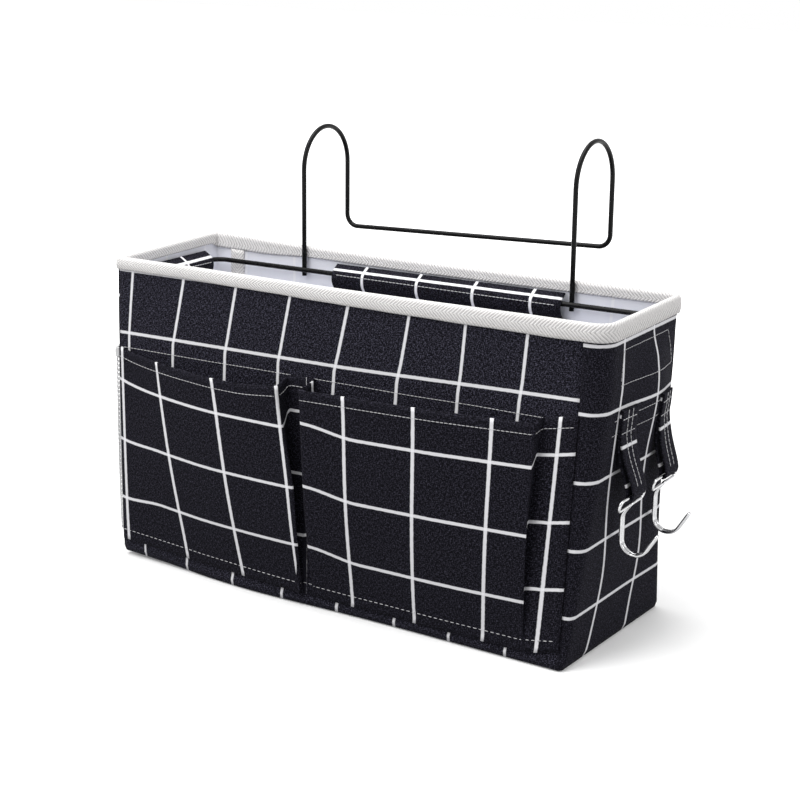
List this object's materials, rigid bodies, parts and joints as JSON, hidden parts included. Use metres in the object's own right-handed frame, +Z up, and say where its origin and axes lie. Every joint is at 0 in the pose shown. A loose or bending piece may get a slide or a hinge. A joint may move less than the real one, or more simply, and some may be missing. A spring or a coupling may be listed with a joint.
{
  "type": "crib organizer",
  "caption": "Rectangular canvas box with tape-bound rim, front pockets, net end pocket and swinging end hooks, on a wire frame that hooks over a crib rail.",
  "frame": {"origin": "middle of the bag's base, on the surface it stands on", "axes": "+X along the bag towards the end with the wire hooks, +Y to the back where it hangs on the rail, +Z up"},
  "size_m": [0.4216, 0.1967, 0.3158],
  "materials": {
    "grid_canvas": "heathered black linen-look canvas with a thin white windowpane check",
    "twill_tape": "cream cotton herringbone twill tape",
    "coated_lining": "satin silver-white coated lining",
    "stiffener": "plain grey sheet",
    "white_net": "white knitted net",
    "elastic": "white woven elastic",
    "grip_strip": "black hook-and-loop tape",
    "painted_wire": "semi-gloss black paint on steel wire",
    "chrome_wire": "bright chrome plating on steel wire"
  },
  "bodies": {
    "bag": {"base_panel": "grid_canvas", "base_board": "stiffener", "front_panel": "grid_canvas", "back_panel": "grid_canvas", "left_end_panel": "grid_canvas", "right_end_panel": "grid_canvas", "lining": "coated_lining", "rim_binding": "twill_tape", "front_left_seam_tape": "twill_tape", "back_left_seam_tape": "twill_tape", "front_right_seam_tape": "twill_tape", "back_right_seam_tape": "twill_tape", "front_pocket_cloth": "grid_canvas", "mesh_pocket_net": "white_net", "mesh_pocket_elastic": "elastic", "frame_ring": "painted_wire", "hanger_wire": "painted_wire", "centre_hook_strip": "grip_strip", "left_hook_strip": "grip_strip", "right_hook_strip": "grip_strip", "front_hook_tab": "grid_canvas", "rear_hook_tab": "grid_canvas"},
    "centre_flap": {"centre_flap": "grid_canvas", "centre_loop_strip": "grip_strip"},
    "left_flap": {"left_flap": "grid_canvas", "left_loop_strip": "grip_strip"},
    "right_flap": {"right_flap": "grid_canvas", "right_loop_strip": "grip_strip"},
    "front_hook": {"front_hook": "chrome_wire"},
    "rear_hook": {"rear_hook": "chrome_wire"}
  },
  "joints": [
    {"name": "centre_flap_hinge", "type": "hinge", "parent": "bag", "child": "centre_flap", "pos_m": [0.0165, 0.0529, 0.2118], "axis": [-1, 0, 0], "range_deg": [0, 95]},
    {"name": "left_flap_hinge", "type": "hinge", "parent": "bag", "child": "left_flap", "pos_m": [-0.1874, 0.008, 0.2118], "axis": [0, -1, 0], "range_deg": [0, 95]},
    {"name": "right_flap_hinge", "type": "hinge", "parent": "bag", "child": "right_flap", "pos_m": [0.1874, 0.008, 0.2118], "axis": [0, 1, 0], "range_deg": [0, 95]},
    {"name": "front_hook_swing", "type": "hinge", "parent": "bag", "child": "front_hook", "pos_m": [0.201, -0.03, 0.108], "axis": [0, -1, 0], "range_deg": [0, 110]},
    {"name": "rear_hook_swing", "type": "hinge", "parent": "bag", "child": "rear_hook", "pos_m": [0.201, 0.023, 0.108], "axis": [0, -1, 0], "range_deg": [0, 110]}
  ]
}
